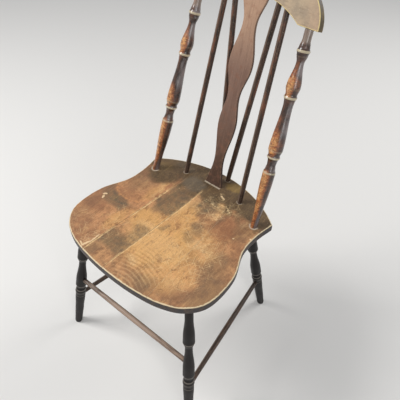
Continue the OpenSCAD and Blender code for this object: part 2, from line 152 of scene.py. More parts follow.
class Finish:
    """One node material, with a short call for each kind of node that the chair's finishes use."""

    def __init__(self, name):
        self.material = bpy.data.materials.new(name)
        self.material.use_nodes = True
        self.tree = self.material.node_tree
        self.shader = self.tree.nodes["Principled BSDF"]
        self.base = None
        self.place = self.in_mm(self.add("ShaderNodeTexCoord").outputs["Object"])

    def add(self, kind, **settings):
        made = self.tree.nodes.new(kind)
        for setting, value in settings.items():
            setattr(made, setting, value)
        return made

    def feed(self, socket, value):
        """Links a socket to the output of a node, or sets it to a plain value."""
        if isinstance(value, bpy.types.NodeSocket):
            self.tree.links.new(value, socket)
        else:
            socket.default_value = value

    def gloss(self, specular, coat=0.0, coat_rough=0.03):
        levels = {"Specular IOR Level": specular, "Coat Weight": coat, "Coat Roughness": coat_rough}
        for socket, level in levels.items():
            self.shader.inputs[socket].default_value = level

    def in_mm(self, metres):
        return self.vector("MULTIPLY", metres, (1 / MM, 1 / MM, 1 / MM))

    def own_place(self):
        """The place on the piece as it was modelled, before it was stood up, in millimetres."""
        return self.in_mm(self.attribute("own", "Vector"))

    def as_vector(self, value):
        """A plain number as a vector with the same number in each place."""
        made = self.add("ShaderNodeCombineXYZ")
        for socket in made.inputs:
            self.feed(socket, value)
        return made.outputs[0]

    def tone(self, value):
        """A screen colour of three numbers as a shader takes it, and anything else as it is."""
        return colour(*value) if isinstance(value, tuple) and len(value) == 3 else value

    def deeper(self, tone, share):
        return tuple(level * share for level in self.tone(tone)[:3]) + (1,)

    def attribute(self, name, output="Fac"):
        return self.add("ShaderNodeAttribute", attribute_name=name).outputs[output]

    def math(self, operation, first, second=0.0):
        made = self.add("ShaderNodeMath", operation=operation)
        self.feed(made.inputs[0], first)
        self.feed(made.inputs[1], second)
        return made.outputs[0]

    def times(self, first, second):
        return self.math("MULTIPLY", first, second)

    def plus(self, first, second):
        return self.math("ADD", first, second)

    def most(self, first, second):
        return self.math("MAXIMUM", first, second)

    def any_of(self, masks):
        return reduce(self.most, masks)

    def vector(self, operation, first, second, output="Vector"):
        made = self.add("ShaderNodeVectorMath", operation=operation)
        self.feed(made.inputs[0], first)
        self.feed(made.inputs[1], second)
        return made.outputs[output]

    def distance(self, vector, shares=(1, 1, 0)):
        """How far out a vector reaches once each axis has been scaled by its share."""
        return self.vector("LENGTH", self.vector("MULTIPLY", vector, shares), (0, 0, 0), "Value")

    def moved(self, vector, move=(0, 0, 0), turn=(0, 0, 0), stretch=(1, 1, 1)):
        made = self.add("ShaderNodeMapping")
        self.feed(made.inputs["Vector"], vector)
        made.inputs["Location"].default_value = move
        made.inputs["Rotation"].default_value = turn
        made.inputs["Scale"].default_value = stretch
        return made.outputs[0]

    def part(self, vector, axis):
        made = self.add("ShaderNodeSeparateXYZ")
        self.feed(made.inputs[0], vector)
        return made.outputs[axis]

    def noise(self, vector, scale, detail=4.0, roughness=0.55, output="Fac"):
        made = self.add("ShaderNodeTexNoise")
        self.feed(made.inputs["Vector"], vector)
        made.inputs["Scale"].default_value = scale
        made.inputs["Detail"].default_value = detail
        made.inputs["Roughness"].default_value = roughness
        return made.outputs[output]

    def stray(self, vector, scale, reach, detail=4, roughness=0.6):
        """Noise either side of nought, which makes an edge wander."""
        return self.times(self.plus(self.noise(vector, scale, detail, roughness), -0.5), reach)

    def span(self, value, low, high, at_low=0.0, at_high=1.0):
        """Carries a value smoothly from at_low to at_high while it runs from low to high."""
        made = self.add("ShaderNodeMapRange", interpolation_type="SMOOTHSTEP")
        self.feed(made.inputs["Value"], value)
        made.inputs["From Min"].default_value = min(low, high)
        made.inputs["From Max"].default_value = max(low, high)
        made.inputs["To Min"].default_value = at_low if low < high else at_high
        made.inputs["To Max"].default_value = at_high if low < high else at_low
        return made.outputs["Result"]

    def mix(self, share, under, over):
        made = self.add("ShaderNodeMix", data_type="RGBA")
        self.feed(made.inputs["Factor"], share)
        self.feed(made.inputs["A"], self.tone(under))
        self.feed(made.inputs["B"], self.tone(over))
        return made.outputs["Result"]

    def paint(self, mask, tone, strength=1):
        """Lays a tone over what is there, as far as the mask says and at most to the strength."""
        share = mask if strength == 1 else self.times(mask, strength)
        self.base = self.mix(share, self.base, tone)

    def facing(self, direction):
        """How squarely the surface faces a direction, from -1 to 1."""
        normal = self.add("ShaderNodeNewGeometry").outputs["Normal"]
        return self.vector("DOT_PRODUCT", normal, direction, "Value")

    def wobbled(self, vector, scale, reach):
        """The same vector pushed about by noise, so that what is placed by it gets a ragged outline."""
        push = self.vector("SUBTRACT", self.noise(vector, scale, 3, 0.6, "Color"), (0.5, 0.5, 0.5))
        made = self.add("ShaderNodeVectorMath", operation="MULTIPLY_ADD")
        self.feed(made.inputs[0], push)
        made.inputs[1].default_value = (reach, reach, reach)
        self.feed(made.inputs[2], vector)
        return made.outputs[0]

    def patch(self, vector, centre, radii, turn=0.0, soft=0.6, strength=1.0):
        """A soft oval patch on a level face: 1 in the middle and 0 outside."""
        local = self.add("ShaderNodeMapping", vector_type="TEXTURE")
        self.feed(local.inputs["Vector"], vector)
        local.inputs["Location"].default_value = (centre[0], centre[1], 0)
        local.inputs["Rotation"].default_value = (0, 0, turn)
        local.inputs["Scale"].default_value = (radii[0], radii[1], FLAT)
        away = self.vector("LENGTH", local.outputs[0], (0, 0, 0), "Value")
        return self.span(away, 1 + soft / 2, 1 - soft / 2, 0.0, strength)

    def patches(self, vector, places, soft=0.7):
        """One mask of oval patches: (x, y, half width, half depth, turn in degrees, strength) for each."""
        return self.any_of([
            self.patch(vector, (x, y), (wide, deep), radians(turn), soft, strength)
            for x, y, wide, deep, turn, strength in places
        ])

    def strip(self, value, low, high, soft):
        """1 while a value lies between two others and 0 outside, with soft edges."""
        rise = self.span(value, low - soft, low + soft)
        return self.times(rise, self.span(value, high + soft, high - soft))

    def streaks(self, vector, along, scale=1.0, reach=18.0, detail=4.0):
        """Grain: noise drawn out along one axis, in millimetres."""
        stretch = [scale] * 3
        stretch["XYZ".index(along)] = scale / reach
        return self.noise(self.moved(vector, stretch=stretch), 1.0, detail, 0.6)

    def finish(self, rough, height, strength, depth):
        """Joins the painted tones, the roughness and a bump of a given depth to the shader."""
        self.feed(self.shader.inputs["Base Color"], self.base)
        self.feed(self.shader.inputs["Roughness"], rough)
        bump = self.add("ShaderNodeBump")
        bump.inputs["Strength"].default_value = strength
        bump.inputs["Distance"].default_value = depth
        self.feed(bump.inputs["Height"], height)
        self.feed(self.shader.inputs["Normal"], bump.outputs[0])
        return self.material


# ------------ places taken from the frame

def level_points(node, height):
    """The points of a node that lie at one height."""
    return [v.co for v in NODES[node].data.vertices if abs(v.co.z - height) < CLOSE]


def middle(points):
    """The centre of the smallest box round some points."""
    low = Vector([min(p[i] for p in points) for i in range(3)])
    high = Vector([max(p[i] for p in points) for i in range(3)])
    return (low + high) / 2


def rim_middle(node, near):
    """The centre of the end face that lies farthest from a point on the node's axis."""
    points = [v.co for v in NODES[node].data.vertices]
    reach = max((p - near).length for p in points)
    return middle([p for p in points if (p - near).length > reach - TOUCH])


def at_height(line, height):
    first, second = line
    return first.lerp(second, (height - first.z) / (second.z - first.z))


def leg_line(node):
    """A leg's axis, from the seat's underside to the floor."""
    foot = middle(level_points(node, 0))
    tenon = rim_middle(node, foot)
    return at_height((tenon, foot), seat_under), foot


def upright_line(node, tenon):
    """The axis of a post, spindle or splat, from the seat's top to the crest rail's lower edge."""
    foot = middle(level_points(node, seat_top))
    end = rim_middle(node, foot)
    return foot, end - (end - foot).normalized() * tenon


def stretcher_line(node):
    """A stretcher's axis, from the end nearest the front left foot to the other."""
    low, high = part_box(node)
    centre = (low + high) / 2
    points = [v.co for v in NODES[node].data.vertices]
    reach = max((p - centre).length for p in points)
    rims = [p for p in points if (p - centre).length > reach - TOUCH]
    along = rims[0] - centre
    ends = [middle([p for p in rims if (p - centre).dot(along) * side > 0]) for side in (1, -1)]
    return sorted(ends, key=lambda p: p.x + p.y)


def joint_line(node, side):
    """The front and back ends of a seat board's side, on the top face."""
    points = [v.co for v in NODES[node].data.vertices if v.co.z > seat_top - TOUCH]
    front = [p for p in points if p.y < seat_front / 2]
    back = [p for p in points if p.y > seat_back / 2]
    return [max(part, key=lambda p: side * p.x) for part in (front, back)]


seat_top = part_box("seat_board_left")[1].z
seat_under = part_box("seat_board_left")[0].z
seat_front = min(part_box(board)[0].y for board in NODES if board.startswith("seat_board"))
seat_back = max(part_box(board)[1].y for board in NODES if board.startswith("seat_board"))

# Sizes of the back that the frame doesn't give by themselves
CREST_TENON = 15 * MM
SPLAT_TENON = 13 * MM
BACK_RAKE = radians(18.6)
CREST_OVERHANG = 25 * MM
CREST_SHOULDER = 24 * MM
CREST_RISE = 100 * MM
CREST_THICK = 17 * MM
CREST_TOP_THICK = 12 * MM
CREST_BOW = 12 * MM
CREST_ARRIS = 2.6 * MM
ARCH_RISE = 33 * MM
SPLAT_THICK = 8.5 * MM
SPLAT_ARRIS = 1.8 * MM
SPLAT_WIDE = 59 * MM

LEGS = ("front_left_leg", "front_right_leg", "back_left_leg", "back_right_leg")
POSTS = ("left_post", "right_post")
SPINDLES = ("left_outer_spindle", "left_inner_spindle", "right_inner_spindle", "right_outer_spindle")
STRETCHERS = ("front_stretcher", "back_stretcher", "left_stretcher", "right_stretcher")
BOARDS = ("seat_board_left", "seat_board_mid_left", "seat_board_mid_right", "seat_board_right")

leg_lines = {node: leg_line(node) for node in LEGS}
post_lines = {node: upright_line(node, CREST_TENON) for node in POSTS}
spindle_lines = {node: upright_line(node, CREST_TENON) for node in SPINDLES}
splat_line = upright_line("splat", SPLAT_TENON)
stretcher_lines = {node: stretcher_line(node) for node in STRETCHERS}
joint_lines = [joint_line("seat_board_left", 1), joint_line("seat_board_mid_left", 1),
               joint_line("seat_board_right", -1)]


# ------------ modelling

def only(piece):
    """Selects one object alone and makes it the active one."""
    bpy.ops.object.select_all(action="DESELECT")
    piece.select_set(True)
    bpy.context.view_layer.objects.active = piece


def open_edit(piece):
    """Opens one piece for editing, all selected."""
    only(piece)
    bpy.ops.object.mode_set(mode="EDIT")
    bpy.ops.mesh.select_all(action="SELECT")


def leave_edit():
    bpy.ops.object.mode_set(mode="OBJECT")


def settle():
    """Applies the active object's place, turn and size to its mesh."""
    bpy.ops.object.transform_apply(location=True, rotation=True, scale=True)


def begin(add, name, **settings):
    """Adds a primitive and opens it for editing, all selected."""
    bpy.ops.object.select_all(action="DESELECT")
    add(**settings)
    piece = bpy.context.object
    piece.name = piece.data.name = name
    open_edit(piece)
    return piece


def end_edit(piece):
    """Turns every face outwards, leaves edit mode and applies the object's place."""
    bpy.ops.mesh.select_all(action="SELECT")
    bpy.ops.mesh.normals_make_consistent(inside=False)
    leave_edit()
    only(piece)
    settle()


def pick(piece, kind, wanted):
    """In edit mode, selects the faces, edges or vertices for which wanted says yes."""
    bpy.ops.object.mode_set(mode="EDIT")
    bpy.ops.mesh.select_mode(type=kind)
    bpy.ops.mesh.select_all(action="DESELECT")
    leave_edit()
    mesh = piece.data
    parts = {"FACE": mesh.polygons, "EDGE": mesh.edges, "VERT": mesh.vertices}[kind]
    parts.foreach_set("select", [bool(wanted(part)) for part in parts])
    bpy.ops.object.mode_set(mode="EDIT")


def draw_out(stations):
    """Extrudes the selected face from station to station.

    A station is its height, then the face's width and depth as shares of those it was drawn with.
    """
    for (z, kx, ky), (next_z, next_kx, next_ky) in zip(stations, stations[1:]):
        bpy.ops.mesh.extrude_region_move(TRANSFORM_OT_translate={"value": (0, 0, next_z - z)})
        bpy.ops.transform.resize(value=(next_kx / kx, next_ky / ky, 1), center_override=(0, 0, next_z))


def swell(stations, step):
    """Fills in a profile: from each (place, size) to the next the size changes along half a wave."""
    filled = []
    for (z, r), (next_z, next_r) in zip(stations, stations[1:]):
        count = max(2, round((next_z - z) / step))
        for i in range(count):
            share = i / count
            filled.append((z + (next_z - z) * share, r + (next_r - r) * (1 - cos(pi * share)) / 2))
    return filled + [tuple(stations[-1])]


def size_at(profile, place):
    """The size of a filled-in profile at one place along it."""
    for (z, r), (next_z, next_r) in zip(profile, profile[1:]):
        if place <= next_z:
            return r + (next_r - r) * max(0, min(1, (place - z) / (next_z - z)))
    return profile[-1][1]


def note_shape(piece, profile, rub, seed):
    """Keeps, on each point, its own place in the piece, how far it stands proud, and how rubbed it is."""
    mesh = piece.data
    for name, kind in (("own", "FLOAT_VECTOR"), ("proud", "FLOAT"), ("rubbed", "FLOAT")):
        mesh.attributes.new(name, kind, "POINT")
    own, proud, rubbed = (mesh.attributes[name] for name in ("own", "proud", "rubbed"))
    reach = 3.5 * MM
    for v in mesh.vertices:
        z = v.co.z
        own.data[v.index].vector = (v.co.x + seed, v.co.y, z)
        around = (size_at(profile, z - reach) + size_at(profile, z + reach)) / 2
        proud.data[v.index].value = (size_at(profile, z) - around) / MM
        rubbed.data[v.index].value = size_at(rub, z)


TURNED_SIDES = 40
ROD_SIDES = 28


def turn_piece(name, profile, rub, seed=0.0, sides=TURNED_SIDES):
    """A piece turned on a lathe: a disc drawn out along Z from ring to ring."""
    z, r = profile[0]
    piece = begin(bpy.ops.mesh.primitive_circle_add, name, vertices=sides, radius=r, fill_type="NGON",
                  location=(0, 0, z))
    draw_out([(z, radius / r, radius / r) for z, radius in profile])
    end_edit(piece)
    note_shape(piece, profile, rub, seed)
    return piece


def stand(piece, line):
    """Carries a piece modelled along Z onto a line, without twisting it, and applies its place."""
    first, second = line
    way = (second - first).normalized()
    depth = way.cross(Vector((1, 0, 0))).normalized()
    across = depth.cross(way)
    piece.matrix_world = Matrix.Translation(first) @ Matrix((across, depth, way)).transposed().to_4x4()
    only(piece)
    settle()


def copy_piece(piece, name, seed):
    copy = bpy.data.objects.new(name, piece.data.copy())
    copy.data.name = name
    bpy.context.scene.collection.objects.link(copy)
    for item in copy.data.attributes["own"].data:
        item.vector = (item.vector[0] + seed, item.vector[1], item.vector[2])
    return copy


def trim(piece, point, normal):
    """Saws a piece off along a plane, takes away the side that the normal points to and closes the cut."""
    open_edit(piece)
    bpy.ops.mesh.bisect(plane_co=point, plane_no=normal, use_fill=True, clear_outer=True, threshold=1e-6)
    leave_edit()


def hand_over(piece, material, slot, *nodes, angle=30):
    """Gives a finished piece its finish and its place in the frame."""
    only(piece)
    bpy.ops.object.shade_smooth_by_angle(angle=radians(angle))
    piece.data.materials.clear()
    piece.data.materials.append(material)
    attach(piece, "root")
    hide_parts(*nodes)


# Legs and posts: stations as shares of the length, with the radius there in millimetres
LEG_TURNING = (
    (-0.02, 10.8), (0.015, 10.8), (0.035, 9.4), (0.12, 9.6), (0.25, 13.5), (0.293, 14), (0.302, 12.4),
    (0.33, 8.9), (0.35, 9), (0.51, 14.1), (0.565, 14.4), (0.573, 13), (0.595, 10.6), (0.615, 13.6),
    (0.635, 14.6), (0.655, 13.4), (0.664, 12.8), (0.672, 13.5), (0.682, 12.9), (0.69, 13.4), (0.8, 12),
    (0.985, 10.5), (1.02, 8.5),
)
POST_TURNING = (
    (-0.03, 8.5), (0.02, 8.5), (0.28, 13.8), (0.318, 14), (0.34, 11), (0.36, 9.7), (0.38, 10.4),
    (0.391, 11.6), (0.402, 14.5), (0.413, 12.8), (0.444, 15.8), (0.66, 10.2), (0.686, 11.2), (0.702, 13.9),
    (0.713, 12), (0.748, 14.8), (0.857, 7.9), (0.895, 11.5), (0.909, 13.5), (0.92, 11), (0.955, 8.5),
    (1.03, 8.6),
)
# How far the finish is rubbed through, along the same lengths; it also sets where the painted highlights and
# painted sheen fall
LEG_RUB = ((-0.02, 0.15), (0.25, 0.3), (0.3, 0.35), (0.55, 0.3), (0.8, 0.2), (1.02, 0.35))
POST_RUB = (
    (-0.03, 0.55), (0.1, 0.85), (0.32, 0.95), (0.34, 0.3), (0.4, 0.2), (0.425, 0.95), (0.5, 0.9),
    (0.56, 0.35), (0.68, 0.25), (0.72, 0.9), (0.78, 0.95), (0.82, 0.4), (0.9, 0.2), (1.03, 0.3),
)
TURNING_STEP = 2.2 * MM

# Where each kind of piece starts its patterns, in metres along X, so that no two wear alike
SEED = {"leg": 1.0, "post": 11.0, "rod": 21.0, "rail": 31.0, "splat": 41.0, "crest": 51.0}


def scaled(stations, length, unit=1.0):
    return [(share * length, size * unit) for share, size in stations]


def make_legs(material):
    length = (leg_lines[LEGS[0]][1] - leg_lines[LEGS[0]][0]).length
    model = turn_piece("leg", swell(scaled(LEG_TURNING, length, MM), TURNING_STEP), scaled(LEG_RUB, length))
    for i, node in enumerate(LEGS):
        leg = copy_piece(model, node.replace("_leg", "_turned_leg"), i + SEED["leg"])
        first, second = leg_lines[node]
        reach = (second - first).length / length
        leg.data.transform(Matrix.Diagonal((1, 1, reach, 1)))
        stand(leg, (first, second))
        trim(leg, (0, 0, seat_under), (0, 0, 1))
        trim(leg, (0, 0, 0), (0, 0, -1))
        hand_over(leg, material, "leg_finish", node)
    bpy.data.objects.remove(model)


def make_posts(material):
    first, second = post_lines[POSTS[0]]
    length = (second - first).length
    model = turn_piece("post", swell(scaled(POST_TURNING, length, MM), TURNING_STEP),
                       scaled(POST_RUB, length))
    for i, node in enumerate(POSTS):
        post = copy_piece(model, node.replace("_post", "_turned_post"), i + SEED["post"])
        first, second = post_lines[node]
        stand(post, (first, second))
        trim(post, (0, 0, seat_top), (0, 0, -1))
        trim(post, second, (0, sin(BACK_RAKE), cos(BACK_RAKE)))
        hand_over(post, material, "post_finish", node)
    bpy.data.objects.remove(model)


def make_spindles(material):
    """Four plain rods, drawn a little thinner at their ends and scraped slightly out of true."""
    radius = 6.3 * MM
    end_radius = 6.0 * MM
    for i, node in enumerate(SPINDLES):
        first, second = spindle_lines[node]
        length = (second - first).length
        stations = [(-6 * MM, end_radius), (0, end_radius), (50 * MM, radius), (length / 2, radius),
                    (length - 60 * MM, radius - 0.1 * MM), (length + 5 * MM, end_radius)]
        rub = [(0, 0.3), (length * 0.3, 0.5), (length * 0.6, 0.8), (length, 0.4)]
        rod = turn_piece(node.replace("_spindle", "_rod"), swell(stations, 8 * MM), rub, i + SEED["rod"],
                         ROD_SIDES)
        stand(rod, (first, second))
        trim(rod, (0, 0, seat_top), (0, 0, -1))
        hand_over(rod, material, "spindle_finish", node)


def make_stretchers(materials):
    """Four plain stretchers, a little fuller in the middle, with their ends inside the legs."""
    radius = 6.9 * MM
    end_radius = 6.0 * MM
    hidden = 3 * MM
    for i, node in enumerate(STRETCHERS):
        first, second = stretcher_lines[node]
        length = (second - first).length
        stations = [(hidden, end_radius), (22 * MM, end_radius), (length / 2, radius),
                    (length - 22 * MM, end_radius), (length - hidden, end_radius)]
        rub = [(0, 0.2), (length * 0.5, 0.9), (length, 0.3)]
        rail = turn_piece(node.replace("_stretcher", "_rail"), swell(stations, 6 * MM), rub, i + SEED["rail"],
                          ROD_SIDES)
        stand(rail, (first, second))
        hand_over(rail, materials[i], "stretcher_finish", node)


# The splat's edge: shares of its length, with its width there as a share of the widest
SPLAT_WAVE = ((-0.05, 0.88), (0.155, 0.42), (0.37, 0.8), (0.52, 0.51), (0.685, 1), (0.87, 0.53), (1.01, 1.03))


def make_splat(material):
    """A board sawn to a wavy outline, its four long edges rounded over by wear."""
    first, second = splat_line
    length = (second - first).length
    wave = swell(scaled(SPLAT_WAVE, length, SPLAT_WIDE), 4 * MM)
    start, wide = wave[0]
    splat = begin(bpy.ops.mesh.primitive_plane_add, "waved_splat", size=1, location=(0, 0, start))
    bpy.ops.transform.resize(value=(wide, SPLAT_THICK, 1), center_override=(0, 0, start))
    bpy.ops.mesh.bevel(offset=SPLAT_ARRIS, segments=3, affect="VERTICES")
    bpy.ops.mesh.select_all(action="SELECT")
    draw_out([(z, width / wide, 1) for z, width in wave])
    end_edit(splat)
    note_shape(splat, wave, [(0, 0.3), (length, 0.6)], SEED["splat"])
    stand(splat, (first, second))
    trim(splat, (0, 0, seat_top), (0, 0, -1))
    hand_over(splat, material, "splat_finish", "splat", angle=40)


def rim_of(piece, wanted):
    """The edges that lie between a face for which wanted says yes and one for which it says no."""
    uses = {}
    for face in piece.data.polygons:
        if wanted(face):
            for key in face.edge_keys:
                uses[key] = uses.get(key, 0) + 1
    return {edge.index for edge in piece.data.edges if uses.get(edge.key) == 1}


def even_normals(piece):
    """Lets the broad faces keep their own normals, so that only the rounded edges shade round."""
    weigh = piece.modifiers.new("weigh", "WEIGHTED_NORMAL")
    weigh.keep_sharp = True
    only(piece)
    bpy.ops.object.modifier_apply(modifier=weigh.name)


CREST_SLICES = 36


def make_crest(material):
    """A half oval with an arch sawn out below, thinned to its top, rounded at its edges and bent to a bow."""
    shoulder = post_lines[POSTS[1]][1]
    bow_radius = (shoulder.x ** 2 + CREST_BOW ** 2) / (2 * CREST_BOW)
    arch_half = shoulder.x - CREST_SHOULDER
    arch_radius = (arch_half ** 2 + ARCH_RISE ** 2) / (2 * ARCH_RISE)
    end_turn = asin((shoulder.x + CREST_OVERHANG) / bow_radius)
    half_wide = bow_radius * end_turn - CREST_THICK / 2 * sin(end_turn)

    bpy.ops.object.select_all(action="DESELECT")
    bpy.ops.mesh.primitive_cylinder_add(
        vertices=360, radius=arch_radius, depth=200 * MM, location=(0, ARCH_RISE - arch_radius, 0)
    )
    arch = bpy.context.object

    crest = begin(bpy.ops.mesh.primitive_circle_add, "bowed_crest", vertices=160, radius=1, fill_type="NGON")
    bpy.ops.transform.resize(value=(half_wide, CREST_RISE, 1), center_override=(0, 0, 0))
    bpy.ops.mesh.bisect(plane_co=(0, 0, 0), plane_no=(0, -1, 0), clear_outer=True)
    bpy.ops.mesh.select_all(action="SELECT")
    bpy.ops.mesh.extrude_region_move(TRANSFORM_OT_translate={"value": (0, 0, -CREST_THICK)})
    taper = (CREST_THICK - CREST_TOP_THICK) / CREST_RISE
    bpy.ops.transform.rotate(value=-taper, orient_axis="X", center_override=(0, 0, -CREST_THICK))
    end_edit(crest)

    cut = crest.modifiers.new("arch", "BOOLEAN")
    cut.object = arch
    bpy.ops.object.modifier_apply(modifier=cut.name)
    bpy.data.objects.remove(arch)

    rim = rim_of(crest, lambda face: abs(face.normal.z) > 0.9)
    pick(crest, "EDGE", lambda edge: edge.index in rim)
    bpy.ops.mesh.bevel(offset=CREST_ARRIS, segments=4, clamp_overlap=False)
    for i in range(-CREST_SLICES, CREST_SLICES + 1):
        bpy.ops.mesh.select_all(action="SELECT")
        bpy.ops.mesh.bisect(plane_co=(i * half_wide / CREST_SLICES, 0, 0), plane_no=(1, 0, 0))
    end_edit(crest)

    crest.location = (0, -CREST_THICK / 2, 0)
    crest.rotation_euler = (pi / 2, 0, 0)
    settle()
    bend = crest.modifiers.new("bow", "SIMPLE_DEFORM")
    bend.deform_method = "BEND"
    bend.deform_axis = "Z"
    bend.angle = -2 * half_wide / bow_radius
    bpy.ops.object.modifier_apply(modifier=bend.name)
    note_shape(crest, [(-1, 0), (1, 0)], [(-1, 0.5), (1, 0.5)], SEED["crest"])

    bowed_out = Vector((0, cos(BACK_RAKE), -sin(BACK_RAKE))) * CREST_BOW
    crest.location = Vector((0, shoulder.y, shoulder.z)) + bowed_out
    crest.rotation_euler = (-BACK_RAKE, 0, 0)
    settle()
    hand_over(crest, material, "crest_finish", "crest_rail", angle=40)
    even_normals(crest)


SEAT_EDGE = 20 * MM
ARRIS = 3 * MM
LOW_ARRIS = 1.5 * MM
GROOVE = 0.25 * MM


def from_joint(point):
    """How far a point lies from the nearest glue joint, seen from above."""
    def off(front, back):
        return abs((point.xy - front.xy).cross((back - front).xy.normalized()))
    return min(off(*line) for line in joint_lines)


def at_socket(point):
    """Whether a point belongs to a socket in the seat's top."""
    feet = [line[0] for line in (*post_lines.values(), *spindle_lines.values())]
    splat_foot = splat_line[0]
    if abs(point.x - splat_foot.x) < SPLAT_WIDE / 2 and abs(point.y - splat_foot.y) < SPLAT_THICK:
        return True
    return min((point.xy - foot.xy).length for foot in feet) < 10 * MM


# Wear on the seat, and the middle that the painted edge shade leaves out, in millimetres: (x, y, half width,
# half depth, turn, strength)
SEAT_GOLD = (
    (25, -110, 80, 85, 0, 1), (10, -20, 36, 58, 0, 0.85), (-48, -80, 40, 30, 0, 0.95),
    (90, -160, 60, 62, 0, 0.6), (-100, -128, 16, 40, 0, 0.6), (-98, 5, 12, 40, 0, 0.5),
    (60, 58, 30, 16, 0, 0.8), (95, -70, 50, 50, 0, 0.5),
)
SEAT_BRIGHT = (
    (-97, 20, 6, 20, 18, 0.95), (-90, -8, 4, 14, 8, 0.8), (64, 56, 22, 10, 10, 0.8),
    (68, 30, 12, 10, 0, 0.8), (45, 91, 15, 4, -20, 0.9), (135, 48, 12, 10, 30, 0.6),
    (105, 90, 6, 6, 0, 0.6), (-165, 20, 6, 4, 0, 0.8), (10, 75, 14, 8, 0, 0.45), (30, -110, 60, 26, 0, 0.6),
    (-28, -92, 22, 14, 0, 0.7), (15, -185, 14, 12, 0, 0.6), (125, -175, 24, 18, 0, 0.45),
    (20, -130, 70, 30, 0, 0.4), (-5, 5, 9, 70, 0, 0.5), (110, -62, 40, 16, 8, 0.5),
)
SEAT_DARK = (
    (-154, -86, 42, 21, -4, 1), (-122, -90, 14, 16, 0, 0.9), (70, -216, 26, 22, 0, 0.7),
    (62, -25, 17, 19, 0, 0.7), (33, 48, 26, 34, 0, 0.95), (64, -58, 20, 14, 0, 0.55),
    (-2, -74, 18, 7, 8, 0.6), (188, -150, 26, 50, 0, 0.7), (162, -84, 26, 42, 0, 0.6),
    (-150, 22, 40, 56, 0, 0.55), (-192, -60, 16, 34, 0, 0.7), (-188, -150, 16, 50, 0, 0.3),
    (152, 40, 26, 40, 0, 0.45), (10, 35, 10, 26, 0, 0.4), (88, 30, 9, 26, 0, 0.5),
    (118, -100, 12, 9, 0, 0.3),
)
# Dark bands on the plank left of the middle: (from x, to x, from y, to y, strength)
PLANK_DARK = (
    (-69, 0, -48, 110, 0.9), (-95, 0, -202, -150, 0.85), (-48, 0, -155, -104, 0.75),
    (-100, -58, -240, -208, 0.6),
)
SEAT_RED = (
    (114, 22, 34, 50, 8, 0.9), (140, -20, 26, 40, 0, 0.4), (170, -40, 20, 60, 0, 0.45),
    (5, -50, 30, 20, 0, 0.3), (-175, -130, 22, 24, 0, 0.5),
)
SEAT_FLAKES = (
    (66, 60, 30, 13, 8, 1), (70, 30, 14, 12, 0, 0.8), (46, 91, 16, 6, -20, 0.8), (140, 50, 10, 12, 0, 0.5),
    (20, 58, 10, 16, 0, 0.5), (116, -58, 34, 20, 10, 0.45), (-100, -200, 12, 26, 0, 0.5),
    (15, -190, 12, 10, 0, 0.7),
)
SEAT_SCUFFED = (
    (105, -110, 62, 92, 0, 1), (35, -10, 50, 60, 0, 0.8), (-100, -150, 30, 80, 0, 0.7),
    (70, 60, 50, 34, 0, 0.7), (-20, -110, 40, 60, 0, 0.5), (-160, -190, 50, 40, 0, 0.5),
)
SEAT_DECK = ((-125, 62, 48, 34, 0, 1), (132, 96, 50, 30, 0, 1))
SEAT_UNSHADED_MIDDLE = ((5, -60, 178, 165, 0, 1),)
# Each kind of wear, and the middle that the painted edge shade leaves out, with how softly its patches end
SEAT_WEAR_AND_SHADE = {
    "gold": (SEAT_GOLD, 0.7), "bright": (SEAT_BRIGHT, 0.7), "red": (SEAT_RED, 0.7), "dark": (SEAT_DARK, 0.8),
    "flaked": (SEAT_FLAKES, 0.5), "scuffed": (SEAT_SCUFFED, 0.7), "deck": (SEAT_DECK, 0.6),
    "middle": (SEAT_UNSHADED_MIDDLE, 0.34),
}
WEAR_GRID = 5 * MM
WEAR_SEED = 1
# Left alone, this noise takes a new seed from the clock on each run
noise.seed_set(WEAR_SEED)
# Scale and reach, in millimetres, of the noise that makes the patches' outlines ragged
RAGGED = ((0.035, 14), (0.13, 5))
# How softly a band starts and ends, across the seat and along it
BAND_SOFT = (7, 11)


def smooth(low, high, value):
    """Rises from 0 to 1, gently at both ends, while a value runs from low to high."""
    share = max(0, min(1, (value - low) / (high - low)))
    return share * share * (3 - 2 * share)


def oval(point, patch, soft):
    """How far a point lies inside an oval patch: its strength in the middle and 0 outside."""
    x, y, wide, deep, turn, strength = patch
    offset = Matrix.Rotation(-radians(turn), 2) @ (point.xy - Vector((x, y)))
    away = Vector((offset.x / wide, offset.y / deep)).length
    return strength * smooth(1 + soft / 2, 1 - soft / 2, away)


def band(point, strip):
    """How far a point lies inside a band square to the seat: its strength inside and 0 outside."""
    *limits, strength = strip
    for place, low, high, soft in zip(point, limits[::2], limits[1::2], BAND_SOFT):
        strength *= smooth(low - soft, low + soft, place) * smooth(high + soft, high - soft, place)
    return strength


def wear_seat(plank, number):
    """Scores a plank into a fine grid and keeps on each of its points how it is worn there, and whether it
    lies in the middle that the painted edge shade leaves out.
    """
    low, high = ([pick(v.co[i] for v in plank.data.vertices) for i in range(2)] for pick in (min, max))
    open_edit(plank)
    for axis in range(2):
        way = Vector((1 - axis, axis, 0))
        for step in range(1, int((high[axis] - low[axis]) / WEAR_GRID) + 1):
            bpy.ops.mesh.select_all(action="SELECT")
            bpy.ops.mesh.bisect(plane_co=way * (low[axis] + step * WEAR_GRID), plane_no=way)
    leave_edit()
    mesh = plank.data
    spots = []
    for v in mesh.vertices:
        spot = v.co / MM
        for scale, reach in RAGGED:
            spot += noise.noise_vector(spot * scale) * reach
        spots.append(spot)
    for name, (patches, soft) in SEAT_WEAR_AND_SHADE.items():
        kept = mesh.attributes.new(name, "FLOAT", "POINT")
        values = [max(oval(spot, patch, soft) for patch in patches) for spot in spots]
        if name == "dark" and number == 1:
            values = [max(value, *(band(spot, strip) for strip in PLANK_DARK)) for value,
                      spot in zip(values, spots)]
        kept.data.foreach_set("value", values)


